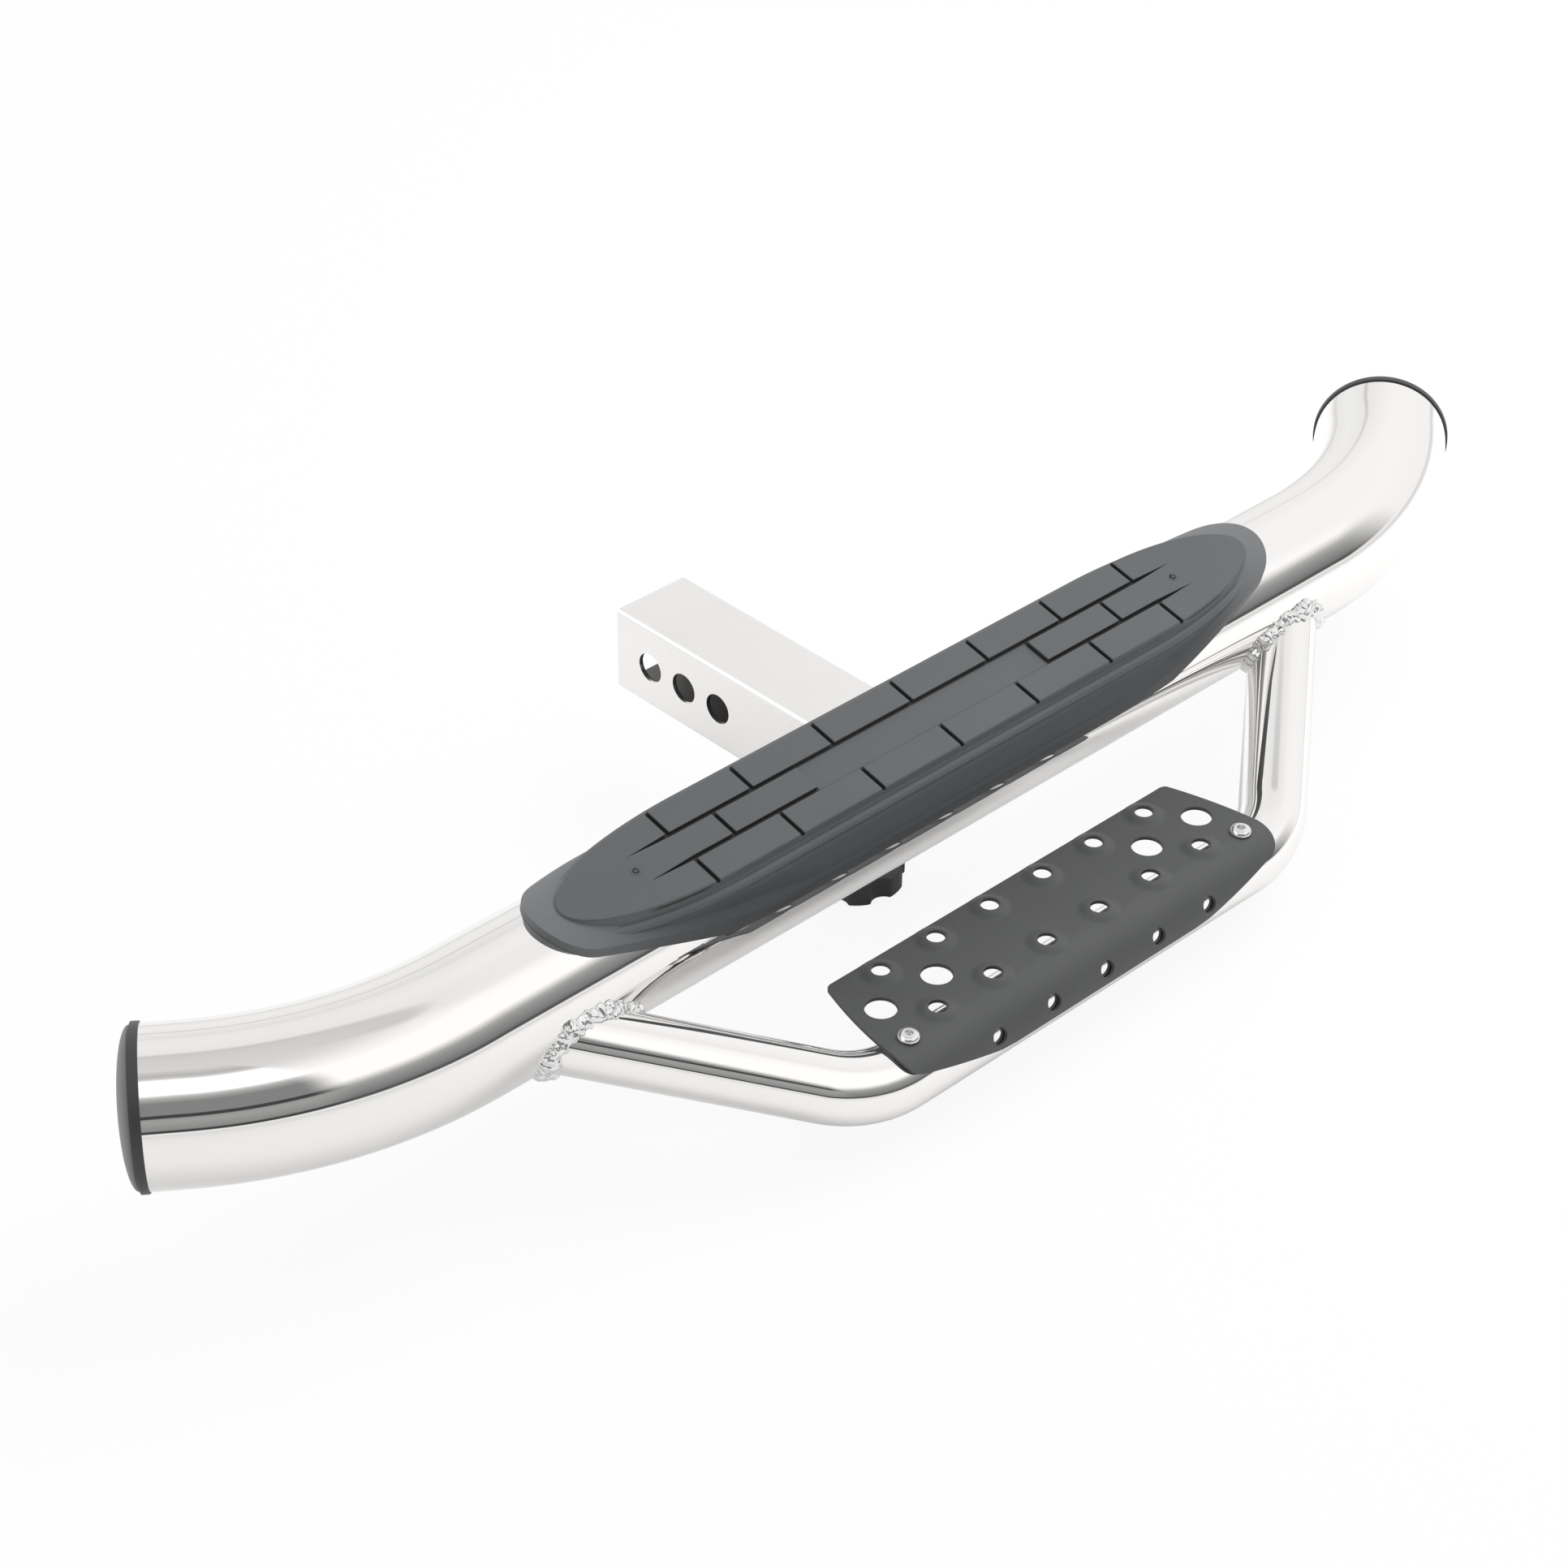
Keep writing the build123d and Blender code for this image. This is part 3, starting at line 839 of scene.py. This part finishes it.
def ring_rise(x, run):
    """How far the sheet is drawn up at a place near one of its raised holes."""
    for row in (back_row, front_row):
        for column in columns(6):
            away = math.hypot(x - column, run - (row - plate_back))
            if away < dimple_foot:
                share = min((dimple_foot - away) / (dimple_foot - dimple_top), 1.0)
                return dimple_rise * share * share * (3 - 2 * share)
    return 0.0


def hole_cutter(radius, edge):
    """A round cutter that opens out at the sheet's face, to leave a broken edge."""
    below, above = 9 * MM, 6 * MM
    deselect_all()
    bpy.ops.mesh.primitive_circle_add(vertices=64, radius=radius, fill_type="NGON", location=(0, 0, -below))
    cutter = bpy.context.object
    keep_place()
    edit(cutter)
    pull((0, 0, below - edge))
    pull((0, 0, edge))
    grow = 1 + edge / radius
    bpy.ops.transform.resize(value=(grow, grow, 1), center_override=(0, 0, 0))
    pull((0, 0, above))
    face_outwards()
    object_mode()
    return cutter


def drilled_holes():
    """The plate's four kinds of hole: radius, broken edge, lean and places."""
    top = nose_radius - loop_drop
    rows = (back_row, front_row)
    nose_y = -loop_back - nose_radius * math.sin(nose_hole_turn)
    nose_z = -loop_drop + nose_radius * math.cos(nose_hole_turn)
    outer_columns = [x for x in columns(7) if abs(x) > 1.5 * hole_pitch]
    return (
        (small_hole, wide_break, 0, [(x, -row, top + dimple_rise) for x in columns(6) for row in rows]),
        (large_hole, wide_break, 0, [(x, -sum(rows) / 2, top) for x in outer_columns]),
        (nose_hole, fine_break, nose_hole_turn, [(x, nose_y, nose_z) for x in columns(5)]),
        (screw_hole, fine_break, 0, [(x, -loop_back, top) for x in (-screw_out, screw_out)]),
    )


def drill_plate(plate):
    cutters = []
    for radius, edge, lean, places in drilled_holes():
        cutter = hole_cutter(radius, edge)
        for place in places:
            copy = own_copy(cutter)
            copy.matrix_world = Matrix.Translation(tube_axis + Vector(place)) @ Matrix.Rotation(lean, 4, "X")
            cutters.append(copy)
        bpy.data.objects.remove(cutter)
    drills = joined(cutters)
    apply_modifier(plate, "holes", "BOOLEAN", operation="DIFFERENCE", object=drills, solver="EXACT")
    bpy.data.objects.remove(drills)


def make_step_plate():
    """The step plate: a fine grid rolled to shape with raised rings, thickened, rounded and drilled."""
    whole_run = plate_flat + nose_quarter + plate_lip
    deselect_all()
    bpy.ops.mesh.primitive_grid_add(x_subdivisions=240, y_subdivisions=112, size=1)
    plate = bpy.context.object
    plate.name = "step_plate_skin"
    for vertex in plate.data.vertices:
        run = (0.5 - vertex.co.y) * whole_run
        x = 2 * vertex.co.x * plate_half_width(run)
        vertex.co = sheet_place(x, run, ring_rise(x, run))
    thicken(plate, plate_wall)
    round_edges(plate, plate_edge, 60)
    drill_plate(plate)
    smooth(plate)
    keep_flats_flat(plate)
    put_on(plate, "step_frame", "black_plate", "step_plate")


def make_stud_core(low, high):
    deselect_all()
    bpy.ops.mesh.primitive_circle_add(
        vertices=64, radius=thread_root, fill_type="NGON", location=(0, clamp_y, low)
    )
    core = bpy.context.object
    core.name = "clamp_stud_thread"
    keep_place()
    edit(core)
    pull((0, 0, high - stud_tip - low))
    bpy.ops.mesh.inset(thickness=thread_root - stud_tip_radius)
    pull((0, 0, stud_tip))
    face_outwards()
    object_mode()
    return core


def make_thread(low, high):
    """A rolled thread: the outline of one tooth wound up the stud, with its two ends filled."""
    deselect_all()
    bpy.ops.mesh.primitive_plane_add(size=thread_pitch)
    thread = bpy.context.object
    edit(thread)
    bpy.ops.mesh.delete(type="ONLY_FACE")
    object_mode()
    foot = thread_root - thread_sink
    tooth = ((foot, -0.5), (thread_crest, -0.06), (foot, 0.5), (thread_crest, 0.06))
    for vertex, (reach, height) in zip(thread.data.vertices, tooth):
        vertex.co = (reach, 0, height * thread_pitch)
    turns = int((high - stud_tip - low) / thread_pitch) - 2
    apply_modifier(
        thread, "thread", "SCREW", angle=math.tau, screw_offset=thread_pitch, iterations=turns, steps=32,
        render_steps=32, axis="Z", use_merge_vertices=True,
    )
    move(thread, Vector((0, clamp_y, low + thread_pitch)))
    edit(thread)
    select_open_edges()
    bpy.ops.mesh.edge_face_add()
    face_outwards()
    object_mode()
    return thread


def make_stud():
    """The clamp screw's stud: a plain core with a rolled thread wound round it."""
    low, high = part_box("clamp_stud")
    stud = joined([make_stud_core(low.z, high.z), make_thread(low.z, high.z)])
    smooth(stud)
    put_on(stud, body_of["clamp_stud"], slot_of["clamp_stud"], "clamp_stud")


def make_end_cap(side, side_name):
    """A moulded plug: half a ball pressed flat for its dome, with a flange and a plug drawn from its rim."""
    deselect_all()
    bpy.ops.mesh.primitive_uv_sphere_add(
        segments=128, ring_count=64, radius=cap_dome_radius, rotation=(0, math.radians(90), 0)
    )
    cap = bpy.context.object
    cap.name = "end_cap_dome_" + side_name
    keep_place()
    edit(cap)
    bpy.ops.mesh.bisect(plane_co=(0, 0, 0), plane_no=(1, 0, 0), clear_inner=True)
    bpy.ops.mesh.select_all(action="SELECT")
    bpy.ops.transform.resize(value=(cap_dome_rise / cap_dome_radius, 1, 1), center_override=(0, 0, 0))
    select_open_edges()
    radius = cap_dome_radius
    for step, to_radius in (
        (-cap_step, cap_dome_radius),
        (0, cap_flange_radius),
        (cap_step - cap_flange, cap_flange_radius),
        (0, cap_plug_radius),
        (-cap_plug_length, cap_plug_tip_radius),
    ):
        pull((step, 0, 0))
        grow = to_radius / radius
        bpy.ops.transform.resize(value=(1, grow, grow), center_override=(0, 0, 0))
        radius = to_radius
    bpy.ops.mesh.edge_face_add()
    bpy.ops.mesh.select_all(action="SELECT")
    bpy.ops.mesh.remove_doubles(threshold=1e-6)
    face_outwards()
    object_mode()
    round_edges(cap, cap_edge, 50)

    along, back = math.cos(tube_bend_angle), math.sin(tube_bend_angle)
    end_x = tube_straight / 2 + tube_bend_radius * back + tube_tail * along
    end_y = tube_bend_radius * (1 - along) + tube_tail * back
    outward = Vector((side * along, back, 0))
    select_only(cap)
    cap.rotation_euler = (0, 0, math.atan2(outward.y, outward.x))
    cap.location = tube_axis + Vector((side * end_x, end_y, 0)) + cap_flange * outward
    keep_place()
    smooth(cap, 35)
    keep_flats_flat(cap)
    put_on(cap, "step_frame", "black_moulding", "end_cap_" + side_name)


def make_shoulder_bead():
    """A rounded line moulded round the pad's side: a long oval drawn out of a circle, made a rod."""
    deselect_all()
    bpy.ops.mesh.primitive_circle_add(vertices=256, radius=1.0, fill_type="NOTHING")
    bead = bpy.context.object
    bead.name = "pad_shoulder_bead"
    straight = bead_half_length - bead_end
    for vertex in bead.data.vertices:
        side = 1 if vertex.co.x > 0 else -1
        vertex.co = (side * straight + vertex.co.x * bead_end, vertex.co.y * bead_half_width, bead_height)
    select_only(bead)
    bpy.ops.object.convert(target="CURVE")
    bead = bpy.context.object
    bead.data.bevel_depth = bead_radius
    bead.data.bevel_resolution = 5
    bpy.ops.object.convert(target="MESH")
    bead = bpy.context.object
    move(bead, pad_middle, pad_turn)
    smooth(bead, 60)
    put_on(bead, "step_frame", "pad_rubber")


def make_mould_mark(name, x):
    """A small round pin mark in the pad's tread: a shallow ring with a dot."""
    deselect_all()
    bpy.ops.mesh.primitive_circle_add(vertices=40, radius=mark_radius, fill_type="NGON")
    mark = bpy.context.object
    mark.name = name
    edit(mark)
    pull((0, 0, mark_height))
    bpy.ops.mesh.inset(thickness=mark_rim)
    bpy.ops.mesh.inset(thickness=mark_slope)
    bpy.ops.transform.translate(value=(0, 0, -mark_sink))
    bpy.ops.mesh.inset(thickness=mark_floor)
    bpy.ops.mesh.inset(thickness=dot_slope)
    bpy.ops.transform.translate(value=(0, 0, dot_rise))
    face_outwards()
    object_mode()
    up = Vector((0, -math.sin(pad_turn), math.cos(pad_turn)))
    move(mark, tube_axis + Vector((x, 0, 0)) + up * (tread_height - mark_bury), pad_turn)
    smooth(mark, 35)
    put_on(mark, "step_frame", "pad_rubber")


def dress_solid(node, edge):
    """A copy of a solid with its flats joined up, its edges rounded and its curves smooth."""
    skin = own_copy(nodes[node])
    skin.name = node + "_skin"
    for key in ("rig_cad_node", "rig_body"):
        if key in skin:
            del skin[key]
    skin.parent = None
    edit(skin)
    bpy.ops.mesh.remove_doubles(threshold=2e-6)
    bpy.ops.mesh.dissolve_limited(angle_limit=math.radians(0.4))
    object_mode()
    sharp = 28
    round_edges(skin, edge, sharp)
    smooth(skin, sharp)
    keep_flats_flat(skin)
    put_on(skin, body_of[node], slot_of[node], node)


main_block = make_main_tube()
make_loop_tube()
for end_side, end_name in ((-1, "left"), (1, "right")):
    make_loop_weld(end_side, end_name)
make_shank_weld()
bpy.data.objects.remove(main_block)
make_step_plate()
make_stud()
for end_side, end_name in ((-1, "left"), (1, "right")):
    make_end_cap(end_side, end_name)
make_shoulder_bead()
for mark_name, mark_x in mark_places.items():
    make_mould_mark(mark_name, mark_x)
for node_name, edge_size in edge_sizes.items():
    dress_solid(node_name, edge_size)


def make_camera():
    data = bpy.data.cameras.new("photo_camera")
    data.lens = camera_lens
    data.sensor_width = 36.0
    camera = bpy.data.objects.new("photo_camera", data)
    bpy.context.scene.collection.objects.link(camera)
    level = math.cos(camera_elevation)
    back = Vector((
        math.sin(camera_azimuth) * level,
        -math.cos(camera_azimuth) * level,
        math.sin(camera_elevation),
    ))
    right = (-back).cross(Vector((0, 0, 1))).normalized()
    up = right.cross(-back)
    turned_right = math.cos(camera_roll) * right + math.sin(camera_roll) * up
    turned_up = math.cos(camera_roll) * up - math.sin(camera_roll) * right
    turn = Matrix((turned_right, turned_up, back)).transposed().to_4x4()
    camera.matrix_world = Matrix.Translation(camera_place) @ turn
    bpy.context.scene.camera = camera


def by_height(stops):
    """Ramp stops from levels at heights above the horizon, in degrees."""
    return [(0.5 + 0.5 * math.sin(math.radians(height)), level) for height, level in stops]


def make_world():
    """A pale studio for the polished tubes to show: light walls, two windows, and dim walls in front."""
    world = bpy.data.worlds.new("studio")
    bpy.context.scene.world = world
    world.use_nodes = True
    g = Graph(world.node_tree)
    direction = g.add("ShaderNodeTexCoord", output="Generated")
    height = g.add("ShaderNodeSeparateXYZ", {}, {"Vector": direction}, output="Z")
    level = g.add("ShaderNodeVectorMath", {"operation": "MULTIPLY"}, {0: direction, 1: (1, 1, 0)})
    bearing = g.add("ShaderNodeVectorMath", {"operation": "NORMALIZE"}, {0: level})
    place_on_ramp = height * 0.5 + 0.5

    def wall(stops):
        return g.add("ShaderNodeValToRGB", {"stops": by_height(stops)}, {"Fac": place_on_ramp})

    def towards(x, y, low, high):
        way = Vector((x, y, 0)).normalized()
        near = g.add(
            "ShaderNodeVectorMath", {"operation": "DOT_PRODUCT"}, {0: bearing, 1: way}, output="Value"
        )
        return g.rise(near, low, high)

    light_walls = wall((
        (-90, 0.9), (-1, 0.9), (2, 0.9), (12, 0.94), (22, 0.9), (23.5, 0.62), (25, 0.9), (38, 0.83),
        (39.5, 0.9), (55, 0.92), (66, 0.88), (69, 0.64), (74, 0.68), (90, 0.72),
    ))
    left_window = wall((
        (-90, 0.9), (-1, 0.9), (4, 0.95), (15, 1.2), (60, 1.25), (70, 0.8), (90, 0.72),
    ))
    right_window = wall((
        (-90, 0.95), (-1, 0.95), (1, 0.98), (30, 1.02), (50, 1.0), (66, 0.9), (69, 0.66), (90, 0.72),
    ))
    front_wall = wall((
        (-90, 0.9), (1.6, 0.9), (2.8, 0.1), (5, 0.1), (7, 0.2), (12, 0.26), (18, 0.32), (23, 0.42),
        (27, 0.72), (32, 1.12), (55, 1.12), (66, 0.96), (76, 0.78), (90, 0.72),
    ))
    dim_wall = wall((
        (-90, 0.9), (1.6, 0.9), (2.8, 0.05), (5, 0.05), (6.5, 0.28), (18, 0.38), (22, 0.34), (23, 0.06),
        (26.5, 0.06), (27.5, 0.25), (43, 0.25), (49, 0.45), (52, 0.7), (54, 1.25), (73, 1.25), (76, 0.6),
        (81, 0.5), (85, 0.7), (90, 0.72),
    ))
    room = g.blend_colours(towards(-0.8, 0.6, 0.7, 0.95), light_walls, left_window)
    room = g.blend_colours(towards(1, -0.1, 0.5, 0.9), room, right_window)
    room = g.blend_colours(towards(0.2, -1, 0.55, 0.85), room, front_wall)
    room = g.blend_colours(towards(-0.696, -0.718, 0.76, 0.86), room, dim_wall)
    camera_ray = g.add("ShaderNodeLightPath", output="Is Camera Ray")
    shown = g.blend_colours(camera_ray, room, grey(1.0))
    background = g.add("ShaderNodeBackground", {}, {"Color": shown, "Strength": 1.0})
    g.add("ShaderNodeOutputWorld", {}, {"Surface": background})


def make_floor():
    """A wide pale floor: nearly white to the camera, lightened in mirrors, with the step's shadow."""
    deselect_all()
    bpy.ops.mesh.primitive_plane_add(size=40, location=(0, 0, cad_low.z - 1.0 * MM))
    floor = bpy.context.object
    floor.name = "floor"
    material, g = new_material("floor")
    seen = g.add("ShaderNodeLightPath", output="Is Camera Ray")
    directly = seen + seen.beside("Is Transmission Ray")
    mirrored = seen.beside("Is Glossy Ray")
    pale = g.add("ShaderNodeBsdfDiffuse", {}, {"Color": grey(0.8)})
    white = g.add("ShaderNodeEmission", {}, {"Color": grey(1.0), "Strength": 1.0})
    shader = g.add("ShaderNodeMixShader", {}, {0: 0.9 * directly + 0.22 * mirrored, 1: pale, 2: white})
    g.add("ShaderNodeOutputMaterial", {}, {"Surface": shader})
    floor.data.materials.append(material)


def make_softbox(name, bearing, elevation, distance, size, watts):
    """A square soft lamp aimed at the tube's middle, at a bearing from straight ahead to the right."""
    data = bpy.data.lights.new(name, "AREA")
    data.shape = "SQUARE"
    data.size = size
    data.energy = watts
    lamp = bpy.data.objects.new(name, data)
    bpy.context.scene.collection.objects.link(lamp)
    turn, rise = math.radians(bearing), math.radians(elevation)
    away = Vector((math.sin(turn) * math.cos(rise), -math.cos(turn) * math.cos(rise), math.sin(rise)))
    lamp.location = tube_axis + distance * away
    lamp.rotation_mode = "QUATERNION"
    lamp.rotation_quaternion = (-away).to_track_quat("-Z", "Y")
    # Polished tubes mirror the room's walls, not the lamp's square edge
    lamp.visible_glossy = False


make_camera()
make_world()
make_floor()
make_softbox("key_softbox", 84, 52, 1.7, 1.3, 19.0)
bpy.context.scene.view_settings.view_transform = "Standard"
